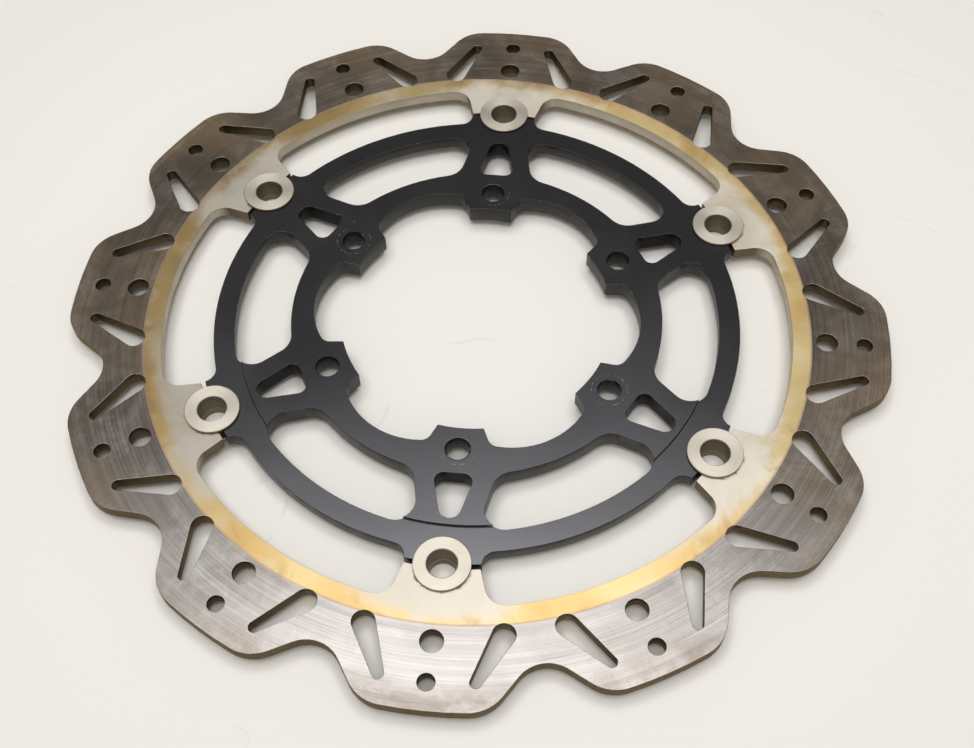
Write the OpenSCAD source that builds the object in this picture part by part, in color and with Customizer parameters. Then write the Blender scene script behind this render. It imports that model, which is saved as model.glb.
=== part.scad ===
// Floating motorcycle brake disc: a waved steel blade on an aluminium carrier, held by six
// square-drive buttons. Each button is locked behind by a thrust washer, a wave washer and
// a retaining ring. Millimetres. The origin is the centre of the hub mounting face, and +Z
// points outboard, away from the wheel. Station 1 lies on -Y, and the others follow
// anticlockwise as seen from +Z.

/* [Brake blade] */
// Diameter over the wave crests
disc_d = 310; // [306:1:316]
// Thickness of the blade
blade_t = 5; // [4:0.1:6]
// Number of wave crests, two to each button
lobes = 12; // [12]
// Radius of the valleys between the crests
valley_r = 140.4; // [139:0.2:142]
// Radius that rounds each crest's corners
crest_corner_r = 14.4; // [12:0.2:16]
// Half the angle that the flat of a crest spans, up to its corners' centres
crest_half_angle = 5.2; // [4:0.1:5.6]
// Radius of the round bottom of a valley
valley_round_r = 12; // [10:0.5:14]
// Inner radius of the blade's ring
ring_in_r = 119; // [117:0.5:121]
// Radius of the end face of a blade lug
blade_lug_r = 105.6; // [105.2:0.1:106]
// Half the width of a blade lug at its end
blade_lug_half_w = 13.1; // [12.4:0.1:14]
// Angle by which the sides of a blade lug flare
blade_lug_flare = 17; // [10:1:22]
// Radius between a blade lug and the ring
blade_lug_fillet_r = 7; // [5:0.5:8]

/* [Vent holes and slots] */
// Radius on which the small vent holes lie
outer_vent_at_r = 145.5; // [144:0.5:147]
// Diameter of the small vent holes
outer_vent_d = 6; // [5:0.1:7]
// Radius on which the large vent holes lie
inner_vent_at_r = 131.6; // [130:0.1:133]
// Diameter of the large vent holes
inner_vent_d = 8; // [6:0.1:9]
// Radius on which the wide ends of the slots lie
slot_wide_at_r = 129.2; // [128:0.1:130]
// Angle from the crest's middle to the wide end of a slot
slot_wide_angle = 10.35; // [10:0.05:10.8]
// Width of a slot's wide end
slot_wide_w = 8; // [6:0.1:9]
// Radius on which the narrow ends of the slots lie
slot_narrow_at_r = 145; // [143:0.1:146]
// Angle from the crest's middle to the narrow end of a slot
slot_narrow_angle = 6.25; // [5.5:0.05:7]
// Width of a slot's narrow end
slot_narrow_w = 4; // [3:0.1:5]

/* [Carrier] */
// Outer radius of the carrier's rim
rim_r = 99.4; // [98.5:0.1:100.5]
// Thickness of the rim and of the lugs
rim_t = 5.3; // [5.2:0.1:6]
// Radius of the thicker hub zone
hub_zone_r = 89.9; // [88:0.1:90.5]
// Thickness of the hub zone
hub_zone_t = 7; // [6.6:0.1:8]
// Height of the rim's back face over the hub mounting face
rim_z = 0.55; // [0.4:0.05:0.8]
// Radius of the end face of a carrier lug
carrier_lug_r = 104; // [103.5:0.1:104.4]
// Half the width of a carrier lug
carrier_lug_half_w = 13.2; // [12.6:0.1:14]
// Radius between a carrier lug and the rim
carrier_lug_fillet_r = 5; // [3:0.5:6]
// Outer radius of the six windows
window_out_r = 91.6; // [91:0.1:92.5]
// Inner radius of the six windows
window_in_r = 70.2; // [69:0.1:72]
// Half the width of a spoke, on the radius spoke_at_r
spoke_half_w = 12.7; // [11.5:0.1:13.5]
// Radius on which the spoke width is measured
spoke_at_r = 78.4; // [77:0.1:80]
// Angle by which the sides of a spoke widen towards the hub
spoke_taper = 12.2; // [8:0.1:14]
// Radius of the outer corners of a window
window_out_corner_r = 7; // [5:0.1:8]
// Radius of the inner corners of a window
window_in_corner_r = 8; // [6:0.1:8.5]

/* [Hub interface] */
// Diameter of the circle through the mounting holes
bolt_pcd = 120; // [118:0.5:122]
// Diameter of a mounting hole, for an M8 bolt
bolt_hole_d = 8.5; // [8:0.1:9]
// Chamfer at both ends of a mounting hole
bolt_hole_chamfer = 0.4; // [0.2:0.1:0.8]
// Radius of the six pads that centre the carrier on the hub
pilot_r = 51.4; // [50.5:0.1:52]
// Half the width of a pad at its end
pad_half_w = 8.3; // [7.5:0.1:9]
// Angle by which the sides of a pad widen outwards
pad_flare = 24; // [18:1:28]
// Radius of the scallop between two pads
scallop_r = 29.8; // [29:0.1:30.5]
// Distance from the axis to a scallop's centre
scallop_at_r = 32.3; // [31.5:0.1:32.8]
// Radius that rounds a scallop's corners
scallop_corner_r = 4; // [2:0.5:5]
// Distance from the axis to the centre of a spoke hole's outer round
spoke_hole_out_at = 83.4; // [82.6:0.1:84]
// Radius of the outer round of a spoke hole
spoke_hole_out_r = 4; // [3:0.1:4.4]
// Distance from the axis to the centres of a spoke hole's inner rounds
spoke_hole_in_at = 73.1; // [72:0.1:74]
// Radius of the inner rounds of a spoke hole
spoke_hole_in_r = 3.3; // [2.5:0.1:3.6]
// Half the distance between the centres of a spoke hole's inner rounds
spoke_hole_in_x = 3.35; // [2.6:0.05:3.8]

/* [Drive buttons] */
// Number of buttons
stations = 6; // [6]
// Radius of the circle through the buttons
button_at_r = 104.5; // [104.3:0.1:104.7]
// Diameter of a button's head
head_d = 20; // [19.6:0.1:21]
// Side of the square shank
shank_w = 13; // [12.4:0.1:13.2]
// Outer diameter of the round tail
tail_d = 13; // [12.6:0.1:13]
// How far the tail reaches behind the hub mounting face
tail_z = 3.5; // [3.3:0.1:5]
// Upper bore of a button
bore_d = 10.5; // [9:0.1:10.8]
// Lower bore of a button, past the step
lower_bore_d = 9.5; // [8:0.1:10]
// Depth of the step in the bore
bore_step = 7.4; // [6:0.1:9]
// Running clearance at the sides of the shank and round the tail
running_gap = 0.05; // [0.03:0.01:0.1]
// Radial room in a pocket, so that the hot blade can grow
growth_room = 0.5; // [0.3:0.1:0.6]
// Gap between faces that only rest on each other
rest_gap = 0.02; // [0.01:0.01:0.03]

/* [Washers and rings] */
// Thickness of a thrust washer
thrust_t = 0.8; // [0.6:0.1:1]
// Diameter of a thrust washer
thrust_d = 19.6; // [19:0.1:20.4]
// Height of a wave washer over its waves
wave_h = 1.1; // [0.9:0.05:1.2]
// Thickness of a wave washer's strip
wave_t = 0.35; // [0.25:0.05:0.4]
// Number of waves in a wave washer
waves = 3; // [2:1:4]
// Outer diameter of a wave washer
wave_d = 18.6; // [17:0.1:19]
// Inner diameter of a wave washer
wave_bore_d = 13.4; // [13.3:0.1:14]
// Thickness of a retaining ring
ring_t = 1; // [0.8:0.1:1.1]
// Outer diameter of a retaining ring
ring_d = 16.4; // [15.6:0.1:17]
// Diameter of the groove that holds a retaining ring
groove_d = 12; // [11.8:0.1:12.4]
// Radius of the ears at a retaining ring's gap
ear_r = 1.7; // [1.4:0.1:2]
// Diameter of the plier holes in the ears
plier_hole_d = 1.4; // [1:0.1:1.6]

/* [Hidden] */
$fn = 96;

tip_r = disc_d / 2;
lobe_step = 360 / lobes;
station_step = 360 / stations;
// The blade lies in the middle of the thicker rim, so it floats by the same amount each way
blade_z = rim_z + (rim_t - blade_t) / 2;
rim_top = rim_z + rim_t;
// The heads end flush with the carrier's outboard face
head_z = rim_top + rest_gap;
head_top = hub_zone_t;
head_chamfer = 0.2;
// The square shank ends inside the pocket, clear of the thrust washer
shank_gap = 0.25;
shank_z = rim_z + shank_gap;
thrust_z = rim_z - rest_gap - thrust_t;
wave_z = thrust_z - rest_gap - wave_h;
ring_z = wave_z - rest_gap - ring_t;
groove_room = 0.04;
tail_chamfer = 0.4;
bore_chamfer = 0.3;
pocket_half_w = shank_w / 2 + running_gap;
// How far an ear sinks into a retaining ring's bore, and where the ears and the gap lie
ear_sink = 0.1;
ear_angle = 20;
gap_angle = 7;
// Steps along one wave washer, and an overshoot for cuts that go right through
wave_steps = 48;
over = 1;
// Depth by which a fillet's circle cuts into what it touches, so that the two outlines cross
bite_in = 0.005;

// Point at radius r and angle a, measured clockwise from +Y
function at(r, a) = [r * sin(a), r * cos(a)];
function flip(p) = [-p[0], p[1]];

// Centre of a circle of radius rf that touches the line through p along the unit vector d, on
// the side of the unit vector n, and whose centre is at the distance r from the point o
function seat(p, d, n, rf, r, o = [0, 0]) =
    let (q = p + rf * n - o, b = q * d)
    p + rf * n + d * (sqrt(b * b - q * q + r * r) - b);

// The two points where the inner tangent touches circle c1, r1 and then circle c2, r2
function inner_tangent(c1, r1, c2, r2) =
    let (v = c2 - c1, a = atan2(v[1], v[0]) + acos((r1 + r2) / norm(v)), n = [cos(a), sin(a)])
    [c1 + r1 * n, c2 - r2 * n];

// Slice of a disc of radius r that spans the angles a0 to a1, clockwise from +Y
module slice(r, a0, a1) {
    intersection() {
        circle(r);
        polygon([[0, 0], at(2 * r, a0), at(2 * r, (a0 + a1) / 2), at(2 * r, a1)]);
    }
}

// Outline that runs anticlockwise round some circles, along their outer tangents
module rounded(centres, radii) {
    for (i = [0 : len(centres) - 1]) translate(centres[i]) circle(radii[i]);
    polygon([
        for (i = [0 : len(centres) - 1]) let (
            j = (i + 1) % len(centres),
            v = centres[j] - centres[i],
            a = atan2(v[1], v[0]) - acos((radii[i] - radii[j]) / norm(v)),
            n = [cos(a), sin(a)]
        ) each [centres[i] + (radii[i] - bite_in) * n, centres[j] + (radii[j] - bite_in) * n]
    ]);
}

// Moves a shape that is drawn at +Y to station k
module at_station(k) {
    rotate(180 + k * station_step) children();
}

// Repeats a shape that is drawn at +Y at every station, or offset_angle past each
module at_all_stations(offset_angle = 0) {
    for (k = [0 : stations - 1]) rotate(offset_angle) at_station(k) children();
}

// ---------------------------------------------------------------- brake blade

// The bite between two crests, drawn about +Y: a valley with a round bottom and straight
// flanks, which leaves the crests' round corners standing
module bite() {
    c1 = at(tip_r - crest_corner_r, crest_half_angle - lobe_step / 2);
    c2 = [0, valley_r + valley_round_r];
    t = inner_tangent(c1, crest_corner_r, c2, valley_round_r);
    mouth = c1 * (tip_r + crest_corner_r) / norm(c1);
    difference() {
        union() {
            translate(c2) circle(valley_round_r);
            polygon([c2, t[1], t[0], c1, mouth, flip(mouth), flip(c1), flip(t[0]), flip(t[1])]);
        }
        for (c = [c1, flip(c1)]) translate(c) circle(crest_corner_r);
    }
}

// Waved outline: a disc with a bite between each two crests
module blade_outline() {
    difference() {
        circle(tip_r, $fn = 360);
        for (i = [0 : lobes - 1]) rotate((i + 0.5) * lobe_step) bite();
    }
}

// One lug that reaches in from the blade's ring, with flared sides and concave corners
module blade_lug() {
    p = at(blade_lug_r, asin(blade_lug_half_w / blade_lug_r));
    d = [sin(blade_lug_flare), cos(blade_lug_flare)];
    n = [d[1], -d[0]];
    c = seat(p, d, n, blade_lug_fillet_r, ring_in_r - blade_lug_fillet_r);
    touch = c - blade_lug_fillet_r * n;
    root = c * (ring_in_r + blade_lug_fillet_r) / norm(c);
    foot = p - over * d;
    difference() {
        polygon([flip(foot), foot, touch, c, root, flip(root), flip(c), flip(touch)]);
        translate(c) circle(blade_lug_fillet_r);
        translate(flip(c)) circle(blade_lug_fillet_r);
        circle(blade_lug_r);
    }
}

// The opening inside the blade, from which the lugs stand
module blade_opening() {
    difference() {
        circle(ring_in_r);
        at_all_stations() blade_lug();
    }
}

// The half pocket in the blade that the square shank drives
module blade_pocket() {
    end = button_at_r + shank_w / 2 + growth_room;
    translate([-pocket_half_w, blade_lug_r - 2 * over]) {
        square([2 * pocket_half_w, end - blade_lug_r + 2 * over]);
    }
}

module vents() {
    for (i = [0 : lobes - 1]) {
        rotate(i * lobe_step) {
            translate([0, outer_vent_at_r]) circle(d = outer_vent_d);
            translate([0, inner_vent_at_r]) circle(d = inner_vent_d);
            for (side = [-1, 1]) {
                rounded([at(slot_wide_at_r, side * slot_wide_angle),
                         at(slot_narrow_at_r, side * slot_narrow_angle)],
                        [slot_wide_w / 2, slot_narrow_w / 2]);
            }
        }
    }
}

module brake_blade() {
    color("#8d8780") translate([0, 0, blade_z]) linear_extrude(blade_t) {
        difference() {
            blade_outline();
            blade_opening();
            at_all_stations() blade_pocket();
            vents();
        }
    }
}

// -------------------------------------------------------------------- carrier

// The gap between two lugs, outside the rim. It is drawn about the direction between stations.
module rim_gap() {
    half = station_step / 2;
    turn = [[cos(half), -sin(half)], [sin(half), cos(half)]];
    // Side of the lug on the left, with the gap on the side n
    d = turn * [0, 1];
    n = [d[1], -d[0]];
    p = turn * [carrier_lug_half_w, rim_r];
    reach = carrier_lug_fillet_r - bite_in;
    c = seat(p, d, n, reach, rim_r + reach);
    side = c - reach * n;
    mouth = side + carrier_lug_r * d;
    for (end = [c, flip(c)]) translate(end) circle(carrier_lug_fillet_r);
    difference() {
        polygon([[0, 0], c, side, mouth, flip(mouth), flip(side), flip(c)]);
        circle(rim_r, $fn = 180);
    }
}

// The half pocket in the carrier for the square shank
module carrier_pocket() {
    start = button_at_r - shank_w / 2 - growth_room;
    translate([-pocket_half_w, start]) {
        square([2 * pocket_half_w, carrier_lug_r + over - start]);
    }
}

// One window between two spokes. It is drawn about the direction between stations.
module window() {
    half = station_step / 2;
    // Side of the spoke on the left: a line through p along d, with the window on the side n
    d0 = [-sin(spoke_taper), cos(spoke_taper)];
    p0 = [spoke_half_w, spoke_at_r];
    turn = [[cos(half), -sin(half)], [sin(half), cos(half)]];
    p = turn * p0;
    d = turn * d0;
    n = [d[1], -d[0]];
    reach_out = window_out_corner_r - bite_in;
    reach_in = window_in_corner_r - bite_in;
    co = seat(p, d, n, reach_out, window_out_r - reach_out);
    ci = seat(p, d, n, reach_in, window_in_r + reach_in);
    to = co - reach_out * n;
    ti = ci - reach_in * n;
    root = ci * (window_in_r - over) / norm(ci);
    a = atan2(co[0], co[1]);
    difference() {
        union() {
            difference() {
                slice(window_out_r, a, -a);
                circle(norm(co) * cos(a) - over);
            }
            for (c = [co, flip(co)]) translate(c) circle(window_out_corner_r);
            for (c = [ci, flip(ci)]) translate(c) circle(window_in_corner_r);
            polygon([to, ti, ci, root, flip(root), flip(ci), flip(ti), flip(to), flip(co), co]);
        }
        circle(window_in_r);
    }
}

// Rounded triangle that lightens a spoke
module spoke_hole() {
    inner = [spoke_hole_in_x, spoke_hole_in_at];
    rounded([[0, spoke_hole_out_at], flip(inner), inner],
            [spoke_hole_out_r, spoke_hole_in_r, spoke_hole_in_r]);
}

// Hub opening: a pilot circle with a round-cornered scallop between each two pads
module hub_opening() {
    half = station_step / 2;
    turn = [[cos(half), -sin(half)], [sin(half), cos(half)]];
    // Side of the pad on the left, from its end outwards
    tip = turn * at(pilot_r, asin(pad_half_w / pilot_r));
    d = turn * [sin(pad_flare), cos(pad_flare)];
    n = [d[1], -d[0]];
    o = [0, scallop_at_r];
    reach = scallop_corner_r - bite_in;
    c = seat(tip, d, n, reach, scallop_r - reach, o);
    touch = c - reach * n;
    start = tip - over * d;
    a = atan2(c[0] - o[0], c[1] - o[1]);
    circle(pilot_r);
    at_all_stations(half) {
        translate(o) slice(scallop_r, a, -a);
        translate(c) circle(scallop_corner_r);
        translate(flip(c)) circle(scallop_corner_r);
        polygon([[0, 0], flip(start), flip(touch), flip(c), o, c, touch, start]);
    }
}

module bolt_hole() {
    translate([0, bolt_pcd / 2, -over]) cylinder(d = bolt_hole_d, h = hub_zone_t + 2 * over);
    for (end = [0, 1]) {
        translate([0, bolt_pcd / 2, end * hub_zone_t]) mirror([0, 0, end]) {
            cylinder(d1 = bolt_hole_d + 2 * bolt_hole_chamfer, d2 = bolt_hole_d, h = bolt_hole_chamfer);
        }
    }
}

module carrier_outline() {
    difference() {
        circle(carrier_lug_r, $fn = 180);
        at_all_stations(station_step / 2) rim_gap();
        at_all_stations(station_step / 2) window();
        at_all_stations() carrier_pocket();
        at_all_stations() spoke_hole();
        hub_opening();
    }
}

// Ring that is cut away where the rim is thinner than the hub zone
module rim_relief(z0, z1) {
    translate([0, 0, z0]) difference() {
        cylinder(r = carrier_lug_r + over, h = z1 - z0, $fn = 180);
        translate([0, 0, -over]) cylinder(r = hub_zone_r, h = z1 - z0 + 2 * over, $fn = 180);
    }
}

module carrier() {
    color("#2b2a2f") difference() {
        linear_extrude(hub_zone_t) carrier_outline();
        rim_relief(-over, rim_z);
        rim_relief(rim_top, hub_zone_t + over);
        at_all_stations() bolt_hole();
    }
}

// -------------------------------------------------------------- drive stations

// Button: a round head over both lugs, a square shank in both pockets and a grooved tail
module drive_button(k) {
    groove_top = ring_z + ring_t + rest_gap / 2;
    color("#cfcac2") at_station(k) translate([0, button_at_r, 0]) difference() {
        union() {
            rotate_extrude() polygon([
                [0, -tail_z], [tail_d / 2 - tail_chamfer, -tail_z], [tail_d / 2, tail_chamfer - tail_z],
                [tail_d / 2, ring_z - groove_room], [groove_d / 2, ring_z - groove_room],
                [groove_d / 2, groove_top], [tail_d / 2, groove_top], [tail_d / 2, head_z],
                [head_d / 2 - head_chamfer, head_z], [head_d / 2, head_z + head_chamfer],
                [head_d / 2, head_top - head_chamfer], [head_d / 2 - head_chamfer, head_top],
                [0, head_top],
            ]);
            translate([-shank_w / 2, -shank_w / 2, shank_z]) cube([shank_w, shank_w, head_z - shank_z]);
        }
        translate([0, 0, -tail_z - over]) cylinder(d = lower_bore_d, h = tail_z + head_top + 2 * over);
        translate([0, 0, head_top - bore_step]) cylinder(d = bore_d, h = bore_step + over);
        translate([0, 0, head_top - bore_chamfer]) {
            cylinder(d1 = bore_d, d2 = bore_d + 2 * (bore_chamfer + over), h = bore_chamfer + over);
        }
    }
}

// Flat washer that bears on the backs of both lugs
module thrust_washer(k) {
    color("#b9b4aa") at_station(k) translate([0, button_at_r, thrust_z]) difference() {
        cylinder(d = thrust_d, h = thrust_t);
        translate([0, 0, -over]) cylinder(d = tail_d + 2 * running_gap, h = thrust_t + 2 * over);
    }
}

// Height of the middle of the wave washer's strip at step i
function wave_mid(i) = (wave_h - wave_t) / 2 * sin(360 * waves * i / wave_steps);

// Spring: a flat ring bent into waves, swept as a closed loop of four-cornered sections
module wave_washer(k) {
    corners = 4;
    section = [
        [wave_bore_d / 2, -wave_t / 2], [wave_d / 2, -wave_t / 2],
        [wave_d / 2, wave_t / 2], [wave_bore_d / 2, wave_t / 2],
    ];
    points = [
        for (i = [0 : wave_steps - 1]) let (a = 360 * i / wave_steps) for (s = section)
            [s[0] * cos(a), s[0] * sin(a), wave_h / 2 + wave_mid(i) + s[1]]
    ];
    faces = [
        for (i = [0 : wave_steps - 1]) for (j = [0 : corners - 1]) let (
            p = i * corners, q = (i + 1) % wave_steps * corners, j1 = (j + 1) % corners
        ) each [[p + j, q + j, q + j1], [p + j, q + j1, p + j1]]
    ];
    color("#9aa0a6") at_station(k) translate([0, button_at_r, wave_z]) polyhedron(points, faces);
}

// Open ring that snaps into the tail's groove, with two eared ends for pliers
module retaining_ring(k) {
    inner_r = groove_d / 2 + rest_gap;
    ear_at = inner_r + ear_r - ear_sink;
    color("#4a4a4c") at_station(k) translate([0, button_at_r, ring_z]) linear_extrude(ring_t) {
        difference() {
            union() {
                circle(d = ring_d);
                for (side = [-1, 1]) translate(at(ear_at, 180 + side * ear_angle)) circle(ear_r);
            }
            circle(inner_r);
            polygon([[0, 0], at(ring_d, 180 - gap_angle), at(ring_d, 180 + gap_angle)]);
            for (side = [-1, 1]) {
                translate(at(ear_at, 180 + side * ear_angle)) circle(d = plier_hole_d, $fn = 24);
            }
        }
    }
}

carrier();
brake_blade();
for (k = [0 : stations - 1]) {
    drive_button(k);
    thrust_washer(k);
    wave_washer(k);
    retaining_ring(k);
}
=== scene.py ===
import math

import bmesh
import bpy
from mathutils import Matrix, Vector


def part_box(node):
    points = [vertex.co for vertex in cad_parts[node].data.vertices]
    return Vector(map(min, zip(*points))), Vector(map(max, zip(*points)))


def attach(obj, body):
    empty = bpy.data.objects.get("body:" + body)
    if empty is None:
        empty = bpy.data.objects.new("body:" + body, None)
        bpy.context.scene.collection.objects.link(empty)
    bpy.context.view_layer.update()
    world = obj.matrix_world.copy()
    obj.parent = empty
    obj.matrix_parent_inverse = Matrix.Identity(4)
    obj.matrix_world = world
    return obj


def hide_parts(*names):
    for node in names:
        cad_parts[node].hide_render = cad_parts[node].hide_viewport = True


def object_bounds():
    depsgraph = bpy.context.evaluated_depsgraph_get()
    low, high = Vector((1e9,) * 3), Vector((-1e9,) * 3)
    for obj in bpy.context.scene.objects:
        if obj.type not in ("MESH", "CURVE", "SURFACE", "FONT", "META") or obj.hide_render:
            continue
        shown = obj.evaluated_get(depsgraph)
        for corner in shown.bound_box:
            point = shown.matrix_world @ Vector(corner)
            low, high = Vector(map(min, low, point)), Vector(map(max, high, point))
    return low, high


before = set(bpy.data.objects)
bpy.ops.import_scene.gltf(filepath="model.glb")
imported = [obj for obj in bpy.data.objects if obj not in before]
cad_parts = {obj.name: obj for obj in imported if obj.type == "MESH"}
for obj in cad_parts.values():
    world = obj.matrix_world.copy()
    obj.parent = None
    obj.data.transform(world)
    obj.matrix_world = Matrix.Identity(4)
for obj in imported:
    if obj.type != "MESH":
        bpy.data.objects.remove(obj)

CAD_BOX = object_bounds()

# Places on the disc, in millimetres. The angle between two stations is in radians. VENT_R is
# where the holes through the spokes lie.
MM = 0.001
STATIONS = 6
STATION_STEP = 2 * math.pi / STATIONS
TIP_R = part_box("brake_blade")[1].y / MM
SWEPT_R = 126.0
RING_IN_R = 119.0
HEAD_R = 10.0
BOLT_CIRCLE_R = 60.0
VENT_R = 77.0


def centre_of(node):
    """The middle of a CAD node's box, in metres."""
    lowest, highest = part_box(node)
    return (lowest + highest) / 2


BUTTON_R = math.hypot(*centre_of("drive_button_1").xy) / MM
BUTTON_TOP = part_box("drive_button_1")[1].z
FLOOR_Z = CAD_BOX[0].z


# ------------------------------------------------------------------ node materials

# Where a Mix node keeps its factor, its two colours and the mixed colour
MIX_COLOUR_INPUTS = (0, 6, 7)
MIX_COLOUR_OUTPUT = 2

SOCKET_NAMES = {
    "base_color": "Base Color", "metallic": "Metallic", "roughness": "Roughness", "ior": "IOR",
    "normal": "Normal", "anisotropic": "Anisotropic", "tangent": "Tangent",
    "specular": "Specular IOR Level", "tint": "Specular Tint",
}


class Shader:
    """Builds one node material. Its methods add nodes, and most return an output socket."""

    def __init__(self, name):
        self.material = bpy.data.materials.new(name)
        self.material.use_nodes = True
        self.tree = self.material.node_tree
        self.tree.nodes.clear()
        coordinates = self.tree.nodes.new("ShaderNodeTexCoord")
        self.place = coordinates.outputs["Object"]
        self.normal = coordinates.outputs["Normal"]

    def feed(self, socket, value):
        if isinstance(value, bpy.types.NodeSocket):
            self.tree.links.new(value, socket)
        elif value is not None:
            if socket.type == "RGBA" and len(value) == 3:
                value = (*value, 1.0)
            socket.default_value = value

    def node(self, kind, *values, **settings):
        made = self.tree.nodes.new(kind)
        for name, value in settings.items():
            setattr(made, name, value)
        for socket, value in zip(made.inputs, values):
            self.feed(socket, value)
        return made

    def math(self, operation, a, b=0.0, c=0.0, clamp=False):
        made = self.node("ShaderNodeMath", a, b, c, operation=operation, use_clamp=clamp)
        return made.outputs[0]

    def plus(self, a, b, clamp=False):
        return self.math("ADD", a, b, clamp=clamp)

    def times(self, a, b):
        return self.math("MULTIPLY", a, b)

    def larger(self, a, b):
        return self.math("MAXIMUM", a, b)

    def length(self, x, y):
        """The distance of x and y from the origin."""
        return self.math("SQRT", self.plus(self.times(x, x), self.times(y, y)))

    def vector(self, x, y, z=0.0):
        return self.node("ShaderNodeCombineXYZ", x, y, z).outputs[0]

    def split(self, vector):
        return self.node("ShaderNodeSeparateXYZ", vector).outputs

    def remap(self, value, low, high, to_low=0.0, to_high=1.0, smooth=True):
        """value taken from low..high to to_low..to_high, and held at both ends."""
        kind = "SMOOTHSTEP" if smooth else "LINEAR"
        made = self.node("ShaderNodeMapRange", value, low, high, to_low, to_high,
                         interpolation_type=kind, clamp=True)
        return made.outputs[0]

    def band(self, value, middle, half_width):
        """1 in the middle, falling to 0 at half_width on each side."""
        distance = self.math("ABSOLUTE", self.math("SUBTRACT", value, middle))
        return self.remap(distance, 0.0, half_width, 1.0, 0.0)

    def noise(self, vector, scale, detail=2.0, roughness=0.5, distortion=0.0):
        made = self.tree.nodes.new("ShaderNodeTexNoise")
        self.feed(made.inputs["Vector"], vector)
        made.inputs["Scale"].default_value = scale
        made.inputs["Detail"].default_value = detail
        made.inputs["Roughness"].default_value = roughness
        made.inputs["Distortion"].default_value = distortion
        return made.outputs[0]

    def specks(self, vector, scale, radius, share):
        """Round dots of a radius, in cells of 1 / scale, in this share of the cells."""
        made = self.tree.nodes.new("ShaderNodeTexVoronoi")
        self.feed(made.inputs["Vector"], vector)
        made.inputs["Scale"].default_value = scale
        rim = radius * scale
        dot = self.remap(made.outputs["Distance"], rim / 2, rim, 1.0, 0.0)
        chosen = self.math("LESS_THAN", self.split(made.outputs["Color"])[0], share)
        return self.times(dot, chosen)

    def mix(self, factor, a, b, blend="MIX"):
        made = self.tree.nodes.new("ShaderNodeMix")
        made.data_type = "RGBA"
        made.blend_type = blend
        made.clamp_factor = True
        for socket, value in zip(MIX_COLOUR_INPUTS, (factor, a, b)):
            self.feed(made.inputs[socket], value)
        return made.outputs[MIX_COLOUR_OUTPUT]

    def between(self, factor, a, b):
        """The same for numbers."""
        return self.node("ShaderNodeMix", factor, None, a, b, data_type="FLOAT").outputs[0]

    def scale_colour(self, colour, factor):
        """A colour times a number."""
        return self.mix(1.0, colour, self.vector(factor, factor, factor), "MULTIPLY")

    def bump(self, height, strength, depth, after=None):
        """depth is the height that a value of 1 stands for, in metres."""
        made = self.tree.nodes.new("ShaderNodeBump")
        made.inputs["Strength"].default_value = strength
        made.inputs["Distance"].default_value = depth
        self.feed(made.inputs["Height"], height)
        if after is not None:
            self.feed(made.inputs["Normal"], after)
        return made.outputs[0]

    def surface(self, **inputs):
        """A surface shader, with each of its inputs given by name."""
        made = self.tree.nodes.new("ShaderNodeBsdfPrincipled")
        for name, value in inputs.items():
            self.feed(made.inputs[SOCKET_NAMES[name]], value)
        return made.outputs[0]

    def layer(self, share, below, above):
        """Two surface shaders, the upper one over this share of each spot."""
        return self.node("ShaderNodeMixShader", share, below, above).outputs[0]

    def close(self, shader):
        output = self.tree.nodes.new("ShaderNodeOutputMaterial")
        self.tree.links.new(shader, output.inputs[0])
        return self.material

    def finish(self, **inputs):
        return self.close(self.surface(**inputs))


# The range in which most of a noise lies, and a narrower one that cuts off more
WIDE = (0.3, 0.7)
MIDDLE = (0.35, 0.65)
WHITE = (1.0, 1.0, 1.0)


class Polar:
    """Where a point lies round the disc's axis: x, y and radius in mm, and the unit vector
    that points outward there."""

    def __init__(self, shader):
        self.shader = shader
        x, y, _ = shader.split(shader.place)
        self.x = shader.times(x, 1 / MM)
        self.y = shader.times(y, 1 / MM)
        self.radius = shader.length(self.x, self.y)
        self.cos = shader.math("DIVIDE", self.x, self.radius)
        self.sin = shader.math("DIVIDE", self.y, self.radius)
        self.outward = shader.vector(self.cos, self.sin)

    def streaks(self, across, along, seed=0.0):
        """Coordinates that turn noise into streaks round the axis, so many mm across and along."""
        s = self.shader
        turn = TIP_R / along
        return s.vector(s.math("MULTIPLY_ADD", self.radius, 1 / across, seed),
                        s.times(self.cos, turn), s.times(self.sin, turn))

    def from_first_station(self):
        """The angle from station 1, in radians."""
        s = self.shader
        return s.plus(s.math("ARCTAN2", self.y, self.x), math.pi / 2)

    def from_station(self, radius):
        """Distance in mm to the nearest point at that radius that lies in line with a button."""
        s = self.shader
        angle = self.from_first_station()
        steps = s.math("ROUND", s.math("DIVIDE", angle, STATION_STEP))
        off = s.math("MULTIPLY_ADD", steps, -STATION_STEP, angle)
        aside = s.times(self.radius, s.math("SINE", off))
        beyond = s.math("SUBTRACT", s.times(self.radius, s.math("COSINE", off)), radius)
        return s.length(aside, beyond)

    def lugness(self):
        """1 in line with a button, 0 halfway between two."""
        s = self.shader
        wave = s.math("COSINE", s.times(self.from_first_station(), STATIONS))
        return s.math("MULTIPLY_ADD", wave, 0.5, 0.5)


def tilt(shader):
    """How far the surface faces along the axis: 1 on a face, 0 on a wall."""
    return shader.math("ABSOLUTE", shader.split(shader.normal)[2])


def flatness(shader):
    """1 on faces square to the axis, 0 on walls; in between on the rounded edges."""
    return shader.remap(tilt(shader), 0.35, 0.95)


def edge_mask(shader):
    """1 on the rounded edges between a face and a wall."""
    return shader.band(tilt(shader), 0.6, 0.38)


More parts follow.
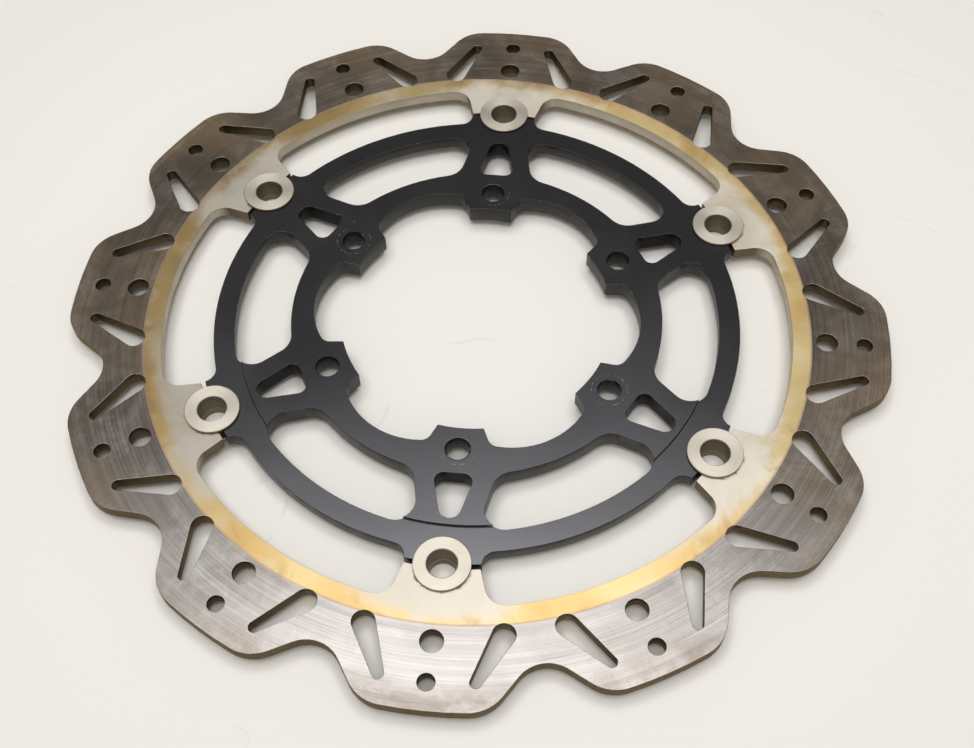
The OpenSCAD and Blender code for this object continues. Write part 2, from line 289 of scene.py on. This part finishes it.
# Colours of the blade
WORN_STEEL = (0.278, 0.268, 0.265)
GRIME_CAST = (1.03, 0.985, 0.935)
STRAW = (0.64, 0.445, 0.18)
PALE_STRAW = (0.67, 0.525, 0.265)
BURNT_STRAW = (0.51, 0.325, 0.135)
VIOLET_OXIDE = (0.33, 0.22, 0.22)
LUG_STEEL = (0.67, 0.622, 0.54)
# Painted shadow on the lugs round each head
HEAD_RIM_SHADOW = (0.12, 0.10, 0.085)
SOOTY_WALL = ((0.076, 0.058, 0.032), (0.185, 0.145, 0.085))
TURNED_WALL = ((0.37, 0.325, 0.25), (0.62, 0.565, 0.46))
WALL_GLANCE = (0.82, 0.78, 0.70)
BLADE_EDGE = (0.50, 0.455, 0.38)
PAD_FILM = (0.25, 0.168, 0.085)
# Height of fine marks, such as grinding grooves and grain, in metres
FINE_RELIEF = 0.00001
COARSE_RELIEF = 0.00002
# Where grime begins, as a radius in mm
GRIME_FROM_R = 142.0


def blade_steel():
    """Used friction steel: a scratched swept band, a heat-tinted ring and lugs, sooty walls."""
    s = Shader("blade_steel")
    at = Polar(s)
    flat = flatness(s)

    # Where the pads sweep. The border wanders a little.
    border = s.math("MULTIPLY_ADD", s.noise(s.place, 60.0), 0.5, at.radius)
    swept = s.remap(border, SWEPT_R + 0.1, SWEPT_R + 0.4)

    # Scratches round the axis, from broad tracks to hairlines
    broad = s.noise(at.streaks(2.2, 240.0), 1.0, 3.0, 0.55)
    fine = s.noise(at.streaks(0.42, 110.0, 7.0), 1.0, 3.0, 0.65)
    hair = s.noise(at.streaks(0.16, 45.0, 3.0), 1.0, 2.0, 0.6)
    blotch = s.noise(s.place, 60.0, 5.0, 0.7, 0.6)
    cloud = s.noise(s.place, 20.0, 3.0, 0.6, 0.3)

    tone = s.plus(s.remap(broad, *WIDE, 0.92, 1.08), s.remap(fine, *MIDDLE, -0.13, 0.13))
    tone = s.plus(tone, s.remap(hair, *MIDDLE, -0.10, 0.10))
    tone = s.plus(tone, s.remap(blotch, 0.42, 0.66, -0.08, 0.16))
    # A few deep scratches, bright or dark
    scored = s.noise(at.streaks(0.3, 70.0, 19.0), 1.0, 1.0, 0.4)
    tone = s.plus(tone, s.remap(scored, 0.68, 0.74, 0.0, 0.15))
    tone = s.math("SUBTRACT", tone, s.remap(scored, 0.26, 0.32, 0.35, 0.0))
    # Grime baked on towards the crests
    grime = s.times(s.remap(at.radius, GRIME_FROM_R, TIP_R),
                    s.remap(s.noise(s.place, 70.0, 6.0, 0.72, 0.5), 0.34, 0.68, 0.2, 1.0))
    tone = s.times(tone, s.remap(grime, 0.0, 1.0, 1.0, 0.79))
    swept_colour = s.scale_colour(WORN_STEEL, tone)
    swept_colour = s.mix(grime, swept_colour, s.mix(1.0, swept_colour, GRIME_CAST, "MULTIPLY"))

    # Heat tint between the pads' path and the lugs
    lug = s.times(at.lugness(), s.remap(at.radius, RING_IN_R - 1, SWEPT_R, 1.0, 0.4))
    lug = s.larger(lug, s.remap(at.radius, RING_IN_R - 3, RING_IN_R + 1, 1.0, 0.0))
    patches = s.noise(s.place, 30.0, 4.0, 0.6, 0.4)
    lug = s.plus(lug, s.remap(patches, *WIDE, -0.3, 0.3), clamp=True)
    straw = s.mix(s.remap(s.noise(s.place, 24.0, 3.0, 0.55, 0.5), 0.38, 0.62),
                  STRAW, PALE_STRAW)
    # Painted light: the straw is painted darker towards -X and a little towards +Y, and lighter
    # towards -Y, as if more light falls from +X and from the front
    side_light = s.math("MULTIPLY_ADD", at.x, 0.0025, s.math("MULTIPLY_ADD", at.y, -0.0013, 0.86))
    side_light = s.math("MULTIPLY_ADD", s.math("MINIMUM", at.y, 0.0), -0.0007, side_light)
    side_light = s.math("MINIMUM", side_light, 1.06)
    straw = s.scale_colour(straw, side_light)
    # Painted light: the lug steel is painted lighter towards +X and darker towards -X
    lug_side_light = s.remap(at.x, -RING_IN_R, RING_IN_R, 0.68, 1.16, smooth=False)
    lug_steel = s.scale_colour(LUG_STEEL, lug_side_light)
    tint = s.mix(s.remap(lug, 0.25, 0.95), straw, lug_steel)
    pale = s.remap(s.noise(s.place, 34.0, 4.0, 0.62, 0.9), 0.50, 0.66, 0.0, 0.38)
    tint = s.mix(pale, tint, lug_steel)
    burnt = s.remap(s.noise(s.place, 42.0, 4.0, 0.6, 1.2), 0.50, 0.66)
    burnt = s.times(burnt, s.remap(at.radius, SWEPT_R - 8.0, SWEPT_R, 0.1, 0.85))
    # The burnt straw takes the same painted light across the disc
    tint = s.mix(burnt, tint, s.scale_colour(BURNT_STRAW, side_light))
    violet = s.band(border, SWEPT_R, 0.7)
    tint = s.mix(s.times(violet, 0.6), tint, VIOLET_OXIDE)
    tint = s.scale_colour(tint, s.remap(patches, 0.25, 0.75, 0.90, 1.10))
    # Painted shadow: a dark ring, broken by noise, on the lugs just round each head's rim
    beside_head = s.band(at.from_station(BUTTON_R), HEAD_R + 0.2, 0.9)
    head_rim_shadow = s.times(beside_head, s.remap(s.noise(s.place, 300.0, 3.0, 0.6), 0.50, 0.62))
    tint = s.mix(s.times(head_rim_shadow, 0.7), tint, HEAD_RIM_SHADOW)

    face = s.mix(swept, tint, swept_colour)
    soot = s.noise(s.place, 90.0, 4.0, 0.6)
    at_ring_wall = s.band(at.radius, RING_IN_R, 6.0)
    wall = s.mix(at_ring_wall, s.mix(soot, *SOOTY_WALL), s.mix(soot, *TURNED_WALL))
    colour = s.mix(flat, wall, face)
    colour = s.mix(s.times(edge_mask(s), 0.25), colour, BLADE_EDGE)

    rough = s.plus(s.remap(fine, *WIDE, 0.15, 0.22), s.remap(blotch, *WIDE, -0.03, 0.07))
    rough = s.plus(rough, s.times(grime, 0.08))
    ring_rough = s.plus(s.remap(patches, *WIDE, 0.37, 0.43), s.times(lug, 0.08))
    rough = s.between(swept, ring_rough, rough)
    rough = s.between(flat, 0.5, rough)

    grooves = s.plus(s.times(fine, 0.6), s.times(hair, 0.4))
    grooves = s.times(s.times(grooves, flat), s.remap(swept, 0.0, 1.0, 0.25, 1.0))
    normal = s.bump(grooves, 0.22, FINE_RELIEF)
    pits = s.times(s.remap(blotch, 0.55, 0.72), swept)
    normal = s.bump(pits, 0.08, FINE_RELIEF, normal)
    outer_wall = s.times(swept, s.math("SUBTRACT", 1.0, flat))
    steel = s.surface(base_color=colour, metallic=s.between(swept, 0.75, 1.0), roughness=rough,
                      normal=normal, anisotropic=0.4, tangent=at.outward,
                      tint=s.mix(outer_wall, WHITE, WALL_GLANCE))

    # Brown film of pad dust, thicker in stains and towards the crests
    stain = s.remap(s.math("MULTIPLY_ADD", broad, 0.12, cloud), 0.46, 0.76, 0.12, 0.34)
    stain = s.plus(stain, s.times(grime, 0.12))
    stain = s.times(stain, s.times(swept, flat))
    film = s.surface(base_color=PAD_FILM, roughness=0.5, specular=0.3, normal=normal)
    return s.close(s.layer(stain, steel, film))


# Colours of the carrier
ANODISED = ((0.005, 0.0047, 0.0055), (0.0105, 0.0098, 0.011))
BARE_ALLOY = (0.42, 0.41, 0.40)
CARRIER_WALL_TINT = (1.0, 0.97, 0.9)
CARRIER_FACE_TINT = (0.92, 0.92, 1.0)
# Refractive index of the anodised skin: glossy faces, plain walls, walls that see little light
FACE_IOR = 1.98
WALL_IOR = 1.45
SHADED_IOR = 1.2
# The ring that a bolt's head rubs round its hole: radius and half the width, in mm
BOLT_RUB_R = 6.6
BOLT_RUB_HALF = 0.32
# How deep a bare spot lies below the anodised skin, in metres
WORN_THROUGH = 0.00005
# How far the dull walls of a spoke's hole reach from its middle, in mm
VENT_REACH = (9.5, 12.0)


def carrier_alloy():
    """Black anodised aluminium, with worn edges, small dings and the marks of bolt heads."""
    s = Shader("carrier_alloy")
    at = Polar(s)
    cloud = s.noise(s.place, 22.0, 3.0, 0.55)
    grain = s.noise(s.place, 1400.0, 2.0, 0.6)
    colour = s.mix(cloud, *ANODISED)

    ring = s.band(at.from_station(BOLT_CIRCLE_R), BOLT_RUB_R, BOLT_RUB_HALF)
    broken = s.remap(s.noise(s.place, 700.0, 3.0, 0.7), 0.50, 0.66, 0.0, 0.7)
    some = s.remap(s.noise(s.place, 28.0, 1.0), 0.48, 0.58)
    rub = s.times(s.times(ring, broken), some)
    dings = s.larger(s.specks(s.place, 130.0, 0.2 * MM, 0.08),
                     s.specks(s.place, 60.0, 0.3 * MM, 0.03))
    worn = s.times(edge_mask(s), s.remap(s.noise(s.place, 110.0, 3.0, 0.6), 0.58, 0.68))
    bare = s.larger(s.larger(rub, dings), worn)
    colour = s.mix(s.times(bare, 0.7), colour, BARE_ALLOY)

    rough = s.plus(s.remap(cloud, *WIDE, 0.15, 0.21), s.remap(grain, *WIDE, -0.02, 0.02))
    normal = s.bump(grain, 0.12, FINE_RELIEF)
    normal = s.bump(s.math("SUBTRACT", 1.0, bare), 0.3, WORN_THROUGH, normal)
    # Only the faces are glossy
    gloss = s.remap(tilt(s), 0.9, 0.99)
    in_vent = s.remap(at.from_station(VENT_R), *VENT_REACH, 1.0, 0.0)
    dull = s.between(s.larger(edge_mask(s), in_vent), WALL_IOR, SHADED_IOR)
    return s.finish(base_color=colour, metallic=0.0, normal=normal,
                    roughness=s.between(gloss, 0.36, rough),
                    ior=s.between(gloss, dull, FACE_IOR),
                    tint=s.mix(gloss, CARRIER_WALL_TINT, CARRIER_FACE_TINT))


# Colours of a button
TURNED_FACE = ((0.568, 0.526, 0.452), (0.652, 0.61, 0.536))
BUTTON_BORE = ((0.165, 0.138, 0.095), (0.29, 0.25, 0.185))
NICK = (0.30, 0.28, 0.25)
# Turning grooves in a mm, and how far apart the patterns of two buttons lie
GROOVES_PER_MM = 9.0
PATTERN_STEP = 11.0


def turned_steel(number):
    """Turned stainless steel, with fine grooves round a button's own axis."""
    s = Shader(f"button_steel_{number}")
    middle = centre_of(f"drive_button_{number}")
    local = s.node("ShaderNodeVectorMath", s.place, tuple(middle), operation="SUBTRACT").outputs[0]
    x, y, height = s.split(local)
    across = s.length(x, y)
    radius = s.times(across, 1 / MM)
    cos, sin = s.math("DIVIDE", x, across), s.math("DIVIDE", y, across)
    flat = flatness(s)
    turning = s.math("MULTIPLY_ADD", radius, GROOVES_PER_MM, PATTERN_STEP * number)
    grooves = s.noise(s.vector(turning, cos, sin), 1.0, 3.0, 0.6)
    smear = s.noise(s.place, 160.0, 3.0, 0.55)
    face = s.mix(smear, *TURNED_FACE)
    face = s.scale_colour(face, s.remap(grooves, *WIDE, 0.93, 1.06))
    marks = s.specks(s.place, 420.0, 0.13 * MM, 0.05)
    face = s.mix(s.times(marks, 0.5), face, NICK)
    bore = s.mix(smear, *BUTTON_BORE)
    # The ledge deep in the bore is flat too, but as dull as the bore
    top = BUTTON_TOP - middle.z
    flat = s.times(flat, s.remap(height, top - 0.8 * MM, top - 0.5 * MM))
    colour = s.mix(flat, bore, face)
    rough = s.between(flat, 0.45, s.remap(smear, *WIDE, 0.41, 0.49))
    normal = s.bump(s.times(grooves, flat), 0.3, COARSE_RELIEF)
    return s.finish(base_color=colour, metallic=0.8, roughness=rough, normal=normal,
                    anisotropic=0.42, tangent=s.vector(cos, sin))


# Colours of the washers and rings
GROUND_STEEL = (0.60, 0.57, 0.52)
BRAKE_DUST = (0.30, 0.26, 0.22)
TEMPER_STRAW = (0.40, 0.33, 0.24)
TEMPER_BLUE = (0.24, 0.27, 0.34)
PHOSPHATED = ((0.035, 0.035, 0.037), (0.085, 0.082, 0.08))
RING_EDGE = (0.35, 0.33, 0.31)
# How a ground washer's noise is drawn out, to leave lines along X
GRIND_LINES = (90.0, 2400.0, 90.0)


def washer_steel():
    """Flat ground washer, dulled by brake dust."""
    s = Shader("washer_steel")
    dust = s.noise(s.place, 240.0, 4.0, 0.6)
    drawn_out = s.node("ShaderNodeMapping", s.place, None, None, GRIND_LINES).outputs[0]
    grind = s.noise(drawn_out, 1.0)
    colour = s.mix(s.remap(dust, 0.45, 0.7), GROUND_STEEL, BRAKE_DUST)
    return s.finish(base_color=colour, metallic=1.0, roughness=s.remap(dust, *WIDE, 0.3, 0.5),
                    normal=s.bump(grind, 0.3, COARSE_RELIEF))


def spring_steel():
    """Tempered strip, straw to blue."""
    s = Shader("spring_steel")
    temper = s.noise(s.place, 130.0, 2.0, 0.5)
    colour = s.mix(s.remap(temper, *MIDDLE), TEMPER_STRAW, TEMPER_BLUE)
    grain = s.noise(s.place, 2600.0, 2.0)
    return s.finish(base_color=colour, metallic=1.0, roughness=s.remap(grain, *WIDE, 0.26, 0.36),
                    normal=s.bump(grain, 0.2, FINE_RELIEF))


def ring_steel():
    """Dark phosphated steel."""
    s = Shader("ring_steel")
    grain = s.noise(s.place, 1800.0, 3.0, 0.65)
    cloud = s.noise(s.place, 200.0, 3.0)
    colour = s.mix(cloud, *PHOSPHATED)
    colour = s.mix(s.times(edge_mask(s), 0.5), colour, RING_EDGE)
    return s.finish(base_color=colour, metallic=0.8, roughness=s.remap(grain, *WIDE, 0.42, 0.58),
                    normal=s.bump(grain, 0.35, COARSE_RELIEF))


# Colours of the floor
BOARD = ((0.858, 0.845, 0.812), (0.888, 0.876, 0.848))
BOARD_DOT = (0.40, 0.38, 0.35)
BOARD_SCRATCH = (0.50, 0.48, 0.45)
# Height of the board's texture, in metres
BOARD_RELIEF = 0.00005
# Painted light falloff: the board is painted a little darker between these radii, in mm, down to
# this share, as a pool of light round the disc
LIGHT_POOL_RADII = (120.0, 300.0)
LIGHT_POOL_EDGE = 0.925


def floor_material():
    """Off-white photographer's board with faint scuffs."""
    s = Shader("floor")
    cloud = s.noise(s.place, 5.0, 3.0, 0.5)
    colour = s.mix(cloud, *BOARD)
    # Painted light: the board is darker away from the disc's axis
    colour = s.scale_colour(colour, s.remap(Polar(s).radius, *LIGHT_POOL_RADII, 1.0, LIGHT_POOL_EDGE))
    dots = s.specks(s.place, 30.0, 0.5 * MM, 0.12)
    colour = s.mix(s.times(dots, 0.4), colour, BOARD_DOT)
    # Hairline scratches: contours of a slow noise, broken by a quicker one
    line = s.band(s.noise(s.place, 9.0, 1.0, 0.5, 0.8), 0.5, 0.0035)
    line = s.times(line, s.remap(s.noise(s.place, 40.0, 2.0), 0.52, 0.60))
    colour = s.mix(s.times(line, 0.16), colour, BOARD_SCRATCH)
    return s.finish(base_color=colour, roughness=0.75, specular=0.2,
                    normal=s.bump(s.noise(s.place, 900.0), 0.05, BOARD_RELIEF))


# ------------------------------------------------------------------ pieces

# How far sharp edges are rounded, in metres
BIG_PIECE_ROUND = 0.13 * MM
BUTTON_ROUND = 0.06 * MM
RING_ROUND = 0.08 * MM
# Points closer than this are one point, in metres
SAME_POINT = 1e-6
# Edges that turn by more than this are rounded
SHARP_DEGREES = 35


def dress(node, material, edge_round):
    """Gives a CAD node its material, and rounds its sharp edges a little."""
    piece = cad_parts[node]
    piece.data.materials.clear()
    piece.data.materials.append(material)
    weld = piece.modifiers.new("weld", "WELD")
    weld.merge_threshold = SAME_POINT
    bevel = piece.modifiers.new("edges", "BEVEL")
    bevel.width = edge_round
    bevel.segments = 2
    bevel.limit_method = "ANGLE"
    bevel.angle_limit = math.radians(SHARP_DEGREES)
    bevel.harden_normals = True


# A wave washer's strip: waves, steps round it, thickness, radii and rounded corners in metres
WAVES = 3
WAVE_STEPS = 144
STRIP = 0.35 * MM
STRIP_OUT_R = 9.3 * MM
STRIP_IN_R = 6.7 * MM
STRIP_ROUND = 0.08 * MM


def strip_section():
    """The strip's cross-section, as points of radius and height."""
    half = STRIP / 2
    corners = ((STRIP_IN_R, -half, 1), (STRIP_OUT_R, -half, -1),
               (STRIP_OUT_R, half, -1), (STRIP_IN_R, half, 1))
    section = []
    for radius, height, inward in corners:
        level = (radius + inward * STRIP_ROUND, height)
        upright = (radius, height - math.copysign(STRIP_ROUND, height))
        section += [upright, level] if (inward > 0) == (height < 0) else [level, upright]
    return section


def wave_ring(number, material):
    """The wave washer as one smooth strip, where its faceted CAD solid lies."""
    node = f"wave_washer_{number}"
    low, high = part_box(node)
    middle = centre_of(node)
    rise = (high.z - low.z - STRIP) / 2
    section = strip_section()
    start = math.pi + (number - 1) * STATION_STEP
    mesh = bmesh.new()
    loops = []
    for step in range(WAVE_STEPS):
        turn = 2 * math.pi * step / WAVE_STEPS
        lift = rise * math.sin(WAVES * turn)
        angle = start + turn
        loops.append([
            mesh.verts.new((middle.x + r * math.cos(angle), middle.y + r * math.sin(angle),
                            middle.z + lift + z)) for r, z in section])
    for here, there in zip(loops, loops[1:] + loops[:1]):
        for a, b in zip(range(len(section)), [*range(1, len(section)), 0]):
            mesh.faces.new((here[a], there[a], there[b], here[b]))
    bmesh.ops.recalc_face_normals(mesh, faces=mesh.faces)
    data = bpy.data.meshes.new(f"wave_ring_{number}")
    mesh.to_mesh(data)
    mesh.free()
    data.materials.append(material)
    piece = bpy.data.objects.new(f"wave_ring_{number}", data)
    bpy.context.scene.collection.objects.link(piece)
    data.shade_smooth()
    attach(piece, "carrier")
    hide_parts(node)


def dress_all():
    dress("brake_blade", blade_steel(), BIG_PIECE_ROUND)
    dress("carrier", carrier_alloy(), BIG_PIECE_ROUND)
    washer, spring, ring = washer_steel(), spring_steel(), ring_steel()
    for number in range(1, STATIONS + 1):
        dress(f"drive_button_{number}", turned_steel(number), BUTTON_ROUND)
        dress(f"thrust_washer_{number}", washer, RING_ROUND)
        dress(f"retaining_ring_{number}", ring, RING_ROUND)
        wave_ring(number, spring)


# ------------------------------------------------------------------ stage

# The room's light, as steps over elevation: from and to in degrees, value below, value above.
# It adds up to a dim room, then a soft light in a broad ring, with a dim middle overhead.
ROOM = (57.0, 61.0, 0.16, 1.22)
RING = (63.5, 68.5, 0.0, 4.1)
OVERHEAD = (73.5, 79.5, 0.0, -4.3)
# The pale walls at the horizon
HORIZON = (8.0, 32.0, 0.34, 0.0)
# What the room adds above the horizon towards -Y, as a step over the direction's y
FILL = (-0.7, -0.05, 0.42, 0.0)
# What is added to the elevation towards +X, in degrees. Below 0, the steps lie higher there.
LEAN = -3.0
LIGHT_COLOUR = (1.0, 0.985, 0.965, 1.0)
ROOM_COLOUR = (1.0, 0.955, 0.87, 1.0)
# Half the floor's side, in metres. Its edge lies outside the photo's view, but shows in low ones.
FLOOR_HALF = 8.0


def make_floor():
    data = bpy.data.meshes.new("floor")
    around = ((-1, -1), (1, -1), (1, 1), (-1, 1))
    corners = [(x * FLOOR_HALF, y * FLOOR_HALF, FLOOR_Z) for x, y in around]
    data.from_pydata(corners, [], [(0, 1, 2, 3)])
    data.materials.append(floor_material())
    floor = bpy.data.objects.new("floor", data)
    bpy.context.scene.collection.objects.link(floor)


def make_world():
    """A dim room, with a ring of soft light above and pale walls at the horizon."""
    world = bpy.data.worlds.new("room")
    world.use_nodes = True
    nodes, links = world.node_tree.nodes, world.node_tree.links
    nodes.clear()

    def place(kind, *values, **settings):
        made = nodes.new(kind)
        for name, value in settings.items():
            setattr(made, name, value)
        for socket, value in zip(made.inputs, values):
            if isinstance(value, bpy.types.NodeSocket):
                links.new(value, socket)
            else:
                socket.default_value = value
        return made.outputs

    def math_node(operation, *values):
        return place("ShaderNodeMath", *values, operation=operation)[0]

    def ramp(value, *step):
        return place("ShaderNodeMapRange", value, *step, interpolation_type="SMOOTHSTEP")[0]

    direction = nodes.new("ShaderNodeTexCoord").outputs["Generated"]
    x, y, z = place("ShaderNodeSeparateXYZ", direction)
    elevation = math_node("DEGREES", math_node("ARCSINE", z))
    elevation = math_node("MULTIPLY_ADD", x, LEAN, elevation)
    fill = math_node("MULTIPLY", ramp(y, *FILL), ramp(elevation, *HORIZON[:2], 0.0, 1.0))
    light = ramp(elevation, *ROOM)
    for more in (ramp(elevation, *RING), ramp(elevation, *OVERHEAD), fill,
                 ramp(elevation, *HORIZON)):
        light = math_node("ADD", light, more)

    blend = nodes.new("ShaderNodeMix")
    blend.data_type = "RGBA"
    share, below, above = (blend.inputs[socket] for socket in MIX_COLOUR_INPUTS)
    links.new(ramp(elevation, *ROOM[:2], 0.0, 1.0), share)
    below.default_value = ROOM_COLOUR
    above.default_value = LIGHT_COLOUR
    coloured = nodes.new("ShaderNodeVectorMath")
    coloured.operation = "SCALE"
    links.new(blend.outputs[MIX_COLOUR_OUTPUT], coloured.inputs[0])
    links.new(light, coloured.inputs["Scale"])
    background = place("ShaderNodeBackground", coloured.outputs[0])[0]
    place("ShaderNodeOutputWorld", background)
    bpy.context.scene.world = world


# The camera, solved from the photo: lens in mm, place in metres, and two of its axes
SENSOR_WIDTH = 36.0
LENS = 47.98
CLIP = (0.01, 20.0)
CAMERA_PLACE = (0.03910, -0.28831, 0.40437)
CAMERA_RIGHT = (0.99426, 0.10644, -0.01060)
CAMERA_BACK = (0.06750, -0.54746, 0.83410)


def make_camera():
    """The photograph's viewpoint: half a metre away, from above and in front."""
    data = bpy.data.cameras.new("camera")
    data.sensor_width = SENSOR_WIDTH
    data.lens = LENS
    data.clip_start, data.clip_end = CLIP
    camera = bpy.data.objects.new("camera", data)
    right, back = Vector(CAMERA_RIGHT), Vector(CAMERA_BACK)
    right = (right - back * right.dot(back)).normalized()
    turn = Matrix((right, back.cross(right), back)).transposed()
    camera.matrix_world = Matrix.Translation(CAMERA_PLACE) @ turn.to_4x4()
    bpy.context.scene.collection.objects.link(camera)
    bpy.context.scene.camera = camera


make_camera()
dress_all()
make_floor()
make_world()
bpy.context.scene.view_settings.view_transform = "Standard"
